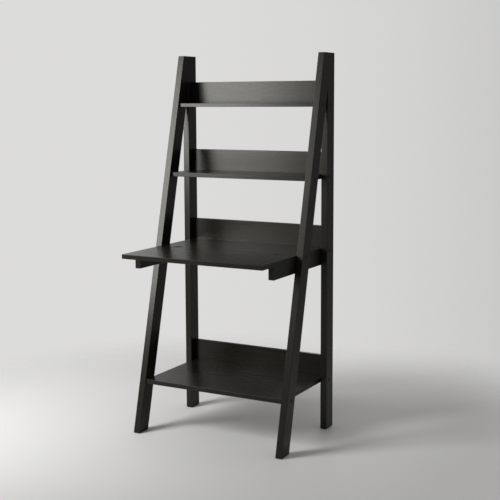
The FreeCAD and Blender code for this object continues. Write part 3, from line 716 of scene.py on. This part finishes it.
def hardware_kinds():
    """Each kind of hardware, with its material."""
    steel = plain("black_steel", colour=(0.005, 0.005, 0.005), roughness=0.5, specular=0.12)
    zinc = plain("zinc_steel", colour=(0.60, 0.60, 0.58), roughness=0.3, metallic=1.0)
    phosphated = plain("phosphated_steel", colour=(0.10, 0.10, 0.10), roughness=0.42,
                       metallic=1.0)
    beech = plain("beech", colour=(0.62, 0.44, 0.27), roughness=0.6)
    glide = plain("glide_plastic", colour=(0.02, 0.02, 0.02), roughness=0.5)
    flange = plain("grommet_flange", colour=(0.012, 0.012, 0.011), roughness=0.28, specular=0.4)
    cap = plain("grommet_cap", colour=(0.008, 0.008, 0.008), roughness=0.6, specular=0.2)
    small_hole = screw_hole(MOUTH, SHANK_SIDES)
    desk_hole = screw_hole(DESK_SCREW_MOUTH, TURNED_SIDES)
    return [
        Kind("_bolts", outward, bolt, bolt_hole, steel),
        Kind("_barrel_nuts", DOWN, barrel_nut, barrel_nut_hole, zinc),
        Kind("_end_dowels", outward, dowel(DOWEL), dowel_hole(DOWEL), beech),
        Kind("_backboard_dowels", UP, dowel(DOWEL), dowel_hole(DOWEL), beech),
        Kind("_backboard_screws", DOWN, wood_screw, small_hole, phosphated),
        Kind("rail_screws", inward, wood_screw, small_hole, phosphated),
        Kind("desk_screws", DOWN, wood_screw, desk_hole, phosphated),
        Kind("apex_screws", BACK, apex_screw, apex_screw_hole, phosphated),
        Kind("apex_dowels", BACK, dowel(APEX_DOWEL), dowel_hole(APEX_DOWEL), beech),
        Kind("floor_glides", DOWN, floor_glide, floor_glide_hole, glide),
        Kind("_grommet_liner", UP, grommet_liner, grommet_hole, flange),
        Kind("_grommet_cap", UP, grommet_cap, None, cap),
    ]


def places(node, kind):
    """Where each solid of a hardware node lies, and its length."""
    found = []
    for k, (low, high) in enumerate(solids(node)):
        towards = kind.towards(low, high) if callable(kind.towards) else kind.towards
        middle = (low + high) / 2
        if kind.make is grommet_cap:
            liner_low, liner_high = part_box(node.replace("_cap", "_liner"))
            middle.y = (liner_low.y + liner_high.y) / 2
        length = abs((high - low).dot(towards))
        turn = UP.rotation_difference(towards).to_matrix().to_4x4()
        spin = 0.0 if "grommet" in node else SPIN_STEP * k
        place = Matrix.Translation(middle + towards * length / 2) @ turn
        found.append((place @ Matrix.Rotation(spin, 4, "Z"), length))
    return found


def dress_hardware(kinds):
    """Puts a detailed piece in the place of each hardware node."""
    for kind in kinds:
        for node in sorted(frame["nodes"]):
            if node.endswith(kind.ending):
                mesh = bmesh.new()
                for place, length in places(node, kind):
                    kind.make(mesh, place, length)
                made = object_from(mesh, node + "_detailed", HARDWARE_SMOOTH_BELOW)
                stands_for(made, node, kind.material)


# ---- holes in wooden pieces -----------------------------------------------------------------

def bores(kinds):
    """Every hole: its kind of hardware, its place and the hardware's length."""
    return [(kind, place, length)
            for kind in kinds if kind.bore is not None
            for node in sorted(frame["nodes"]) if node.endswith(kind.ending)
            for place, length in places(node, kind)]


def reaches(place, length, box):
    """True if hardware lies in a box or within the bores' reach of it."""
    start = place.translation
    end = place @ Vector((0, 0, -length))
    margin = Vector((1, 1, 1)) * BORE_REACH
    low = Vector(map(min, start, end)) - margin
    high = Vector(map(max, start, end)) + margin
    return all(low[axis] < box[1][axis] and box[0][axis] < high[axis] for axis in range(3))


def bored(made, tools, box):
    """Takes the holes of the hardware that reaches into a piece's box out of the piece."""
    cutters = []
    for ending in sorted({kind.ending for kind, place, length in tools}):
        mesh = bmesh.new()
        for kind, place, length in tools:
            if kind.ending == ending and reaches(place, length, box):
                kind.bore(mesh, place, length)
        if mesh.verts:
            cutter = object_from(mesh, "cutter", SMOOTH_BELOW)
            cutters.append(cutter)
            hole = made.modifiers.new("holes", "BOOLEAN")
            hole.operation = "DIFFERENCE"
            hole.solver = "EXACT"
            hole.object = cutter
        else:
            mesh.free()
    applied(made)
    for cutter in cutters:
        bpy.data.objects.remove(cutter)


# ---- wooden pieces --------------------------------------------------------------------------

def upright_outline(node):
    """The (y, z) outline of a square-cut piece."""
    low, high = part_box(node)
    return [(low.y, low.z), (high.y, low.z), (high.y, high.z), (low.y, high.z)]


def board_outline(node):
    """A board's outline, with the rebate for its backboard along the rear edge."""
    low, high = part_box(node)
    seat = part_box(BACKBOARD_OF[node])[0]
    return [(low.y, low.z), (high.y, low.z), (high.y, seat.z),
            (seat.y, seat.z), (seat.y, high.z), (low.y, high.z)]


def front_leg_outline(node):
    """A leaning leg's outline, upright where it meets its post."""
    vertices = frame["nodes"][node].data.vertices
    low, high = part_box(node)
    foot = [v.co.y for v in vertices if v.co.z < low.z + MM]
    top = min(v.co.y for v in vertices if v.co.z > high.z - MM)
    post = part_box(node.replace("front_leg", "rear_post"))[0].y
    lean = (top - min(foot)) / (high.z - low.z)
    scarf_foot = low.z + (post - max(foot)) / lean
    return [(min(foot), low.z), (max(foot), low.z), (post, scarf_foot), (post, high.z),
            (top, high.z)]


def lean_of(node):
    """Direction of a leaning leg's long edges."""
    foot, top = front_leg_outline(node)[0], front_leg_outline(node)[-1]
    return Vector((0, top[0] - foot[0], top[1] - foot[1]))


def long_edges(first, second):
    """Roundings of a leg or a post."""
    return LEG_EDGE if (second - first).length > LONG_EDGE else ARRIS


def front_edges(front):
    """Roundings of a board, with its front edges rounder."""
    def radius(first, second):
        along_front = max(first.y, second.y) < front + MM and first.z == second.z
        return BOARD_EDGE if along_front else ARRIS
    return radius


def top_edges(top):
    """Roundings of a backboard, with its top edges rounder."""
    def radius(first, second):
        along_top = min(first.z, second.z) > top - MM and first.y == second.y
        return BOARD_EDGE if along_top else ARRIS
    return radius


def bottom_edges(bottom):
    """Roundings of a rail, with its long lower edges rounder."""
    def radius(first, second):
        below = max(first.z, second.z) < bottom + MM and first.x == second.x
        return RAIL_EDGE if below else ARRIS
    return radius


def wooden(node, outline, radius_of, tools, material):
    """A wooden piece: its (y, z) outline run across the node's width, its edges rounded and the
    holes of its hardware taken out."""
    low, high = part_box(node)
    mesh = bmesh.new()
    left, right = [[mesh.verts.new((x, y, z)) for y, z in outline] for x in (low.x, high.x)]
    mesh.faces.new(left)
    mesh.faces.new(right)
    for k, corner in enumerate(left):
        following = (k + 1) % len(left)
        mesh.faces.new((corner, left[following], right[following], right[k]))
    bmesh.ops.recalc_face_normals(mesh, faces=mesh.faces)
    share = mesh.edges.layers.float.new("bevel_weight_edge")
    for edge in mesh.edges:
        first, second = edge.verts
        edge[share] = radius_of(first.co, second.co) / LEG_EDGE
    made = object_from(mesh, node + "_finished", SMOOTH_BELOW)
    rounding = made.modifiers.new("edges", "BEVEL")
    rounding.limit_method = "WEIGHT"
    rounding.width = LEG_EDGE
    rounding.segments = EDGE_SEGMENTS
    bored(made, tools, (low, high))
    stands_for(made, node, material)


def dress_wood(kinds):
    """Puts a finished piece in the place of each wooden node."""
    tools = bores(kinds)
    seed = 0
    for node in sorted(frame["nodes"]):
        low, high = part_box(node)
        if node.endswith("front_leg"):
            form = front_leg_outline(node), long_edges, lean_of(node)
        elif node.endswith("rear_post"):
            form = upright_outline(node), long_edges, UP
        elif node.endswith("desk_rail"):
            form = upright_outline(node), bottom_edges(low.z), BACK
        elif node.endswith("backboard"):
            form = upright_outline(node), top_edges(high.z), ACROSS
        elif node in BACKBOARD_OF:
            form = board_outline(node), front_edges(low.y), ACROSS
        else:
            continue
        outline, radius_of, grain = form
        seed += 1
        wooden(node, outline, radius_of, tools, wood("wood_" + node, grain, seed))


# ---- camera, lamps, world and floor ---------------------------------------------------------

def make_camera():
    """Camera at the photographed viewing angle."""
    right = Vector((math.cos(CAMERA_YAW), math.sin(CAMERA_YAW), 0))
    level = Vector((-math.sin(CAMERA_YAW), math.cos(CAMERA_YAW), 0))
    forward = level * math.cos(CAMERA_PITCH) + UP * math.sin(CAMERA_PITCH)
    upward = UP * math.cos(CAMERA_PITCH) - level * math.sin(CAMERA_PITCH)
    rolled_right = right * math.cos(CAMERA_ROLL) + upward * math.sin(CAMERA_ROLL)
    rolled_up = upward * math.cos(CAMERA_ROLL) - right * math.sin(CAMERA_ROLL)
    data = bpy.data.cameras.new("camera")
    data.sensor_width = CAMERA_SENSOR
    data.sensor_fit = "HORIZONTAL"
    data.lens = CAMERA_LENS
    data.shift_y = CAMERA_SHIFT_Y
    camera = bpy.data.objects.new("camera", data)
    turn = Matrix((rolled_right, rolled_up, -forward)).transposed()
    camera.matrix_world = Matrix.Translation(CAMERA_PLACE) @ turn.to_4x4()
    bpy.context.scene.collection.objects.link(camera)
    bpy.context.scene.camera = camera


def make_lamp(name, place, aim, width, height, power):
    """A soft rectangular lamp that the camera doesn't see."""
    data = bpy.data.lights.new(name, "AREA")
    data.shape = "RECTANGLE"
    data.size = width
    data.size_y = height
    data.energy = power
    lamp = bpy.data.objects.new(name, data)
    lamp.location = place
    lamp.visible_camera = False
    lamp.rotation_euler = (aim - place).to_track_quat("-Z", "Y").to_euler()
    bpy.context.scene.collection.objects.link(lamp)


def make_lamps():
    """The key lamp and the fills."""
    make_lamp("key", KEY_PLACE, KEY_AIM, KEY_WIDTH, KEY_HEIGHT, KEY_POWER)
    for place, aim, width in zip(FILL_PLACES, FILL_AIMS, FILL_WIDTHS):
        power = FILL_LEVEL * width * FILL_HEIGHT
        make_lamp("fill", place, aim, width, FILL_HEIGHT, power)


def with_sector(tree, level, direction, sector):
    """The level, or the sector's own where the direction lies in that sector."""
    share = spread(tree, dot(tree, direction, sector.towards), *sector.fade)
    return mixed(tree, share, level, sector.level)


def make_world():
    """Pale backdrop, brighter on one side, and an even soft light on matt surfaces."""
    world = bpy.data.worlds.new("studio")
    world.use_nodes = True
    tree = world.node_tree
    tree.nodes.clear()
    direction = add(tree, "TexCoord").outputs["Generated"]
    flat = stretched(tree, direction, (1, 1, 0))
    heading = add(tree, "VectorMath", {0: flat}, operation="NORMALIZE").outputs["Vector"]
    backdrop = with_sector(tree, BACKDROP_SIDE, heading, BACKDROP_PALE)
    backdrop = with_sector(tree, backdrop, direction, BACKDROP_DIM)
    upper = with_sector(tree, backdrop, heading, UPPER_DARK)
    upper = with_sector(tree, upper, heading, UPPER_BRIGHT)
    height = add(tree, "SeparateXYZ", {"Vector": direction}).outputs["Z"]
    backdrop = mixed(tree, spread(tree, height, *UPPER_FROM), backdrop, upper)
    ray = add(tree, "LightPath").outputs
    seen = arithmetic(tree, "ADD", ray["Is Camera Ray"], ray["Is Glossy Ray"])
    seen = arithmetic(tree, "ADD", seen, ray["Is Transmission Ray"])
    level = mixed(tree, seen, SOFT_LIGHT, backdrop)
    background = add(tree, "Background", {"Color": BACKDROP_COLOUR, "Strength": level})
    output = add(tree, "OutputWorld")
    tree.links.new(background.outputs["Background"], output.inputs["Surface"])
    bpy.context.scene.world = world


def make_floor():
    """Pale floor that fades out into the surroundings."""
    ring = [(x, y, -FLOOR_DROP)
            for x, y in arc(FLOOR_FADED_RADIUS, 0.0, 2 * math.pi, FLOOR_SIDES)[:-1]]
    mesh = bpy.data.meshes.new("floor")
    mesh.from_pydata(ring, [], [list(range(FLOOR_SIDES))])
    floor = bpy.data.objects.new("floor", mesh)
    bpy.context.scene.collection.objects.link(floor)
    material, tree, shader = new_material("floor", {
        "Base Color": FLOOR_COLOUR, "Roughness": FLOOR_ROUGHNESS,
        "Specular IOR Level": FLOOR_SPECULAR})
    place = add(tree, "TexCoord").outputs["Object"]
    distance = add(tree, "VectorMath", {0: place}, operation="LENGTH").outputs["Value"]
    opacity = spread(tree, distance, FLOOR_SOLID_RADIUS, FLOOR_FADED_RADIUS,
                     to_low=1.0, to_high=0.0)
    tree.links.new(opacity, shader.inputs["Alpha"])
    mesh.materials.append(material)


make_camera()
make_lamps()
make_world()
make_floor()
HARDWARE = hardware_kinds()
dress_wood(HARDWARE)
dress_hardware(HARDWARE)
bpy.context.scene.view_settings.view_transform = "Standard"
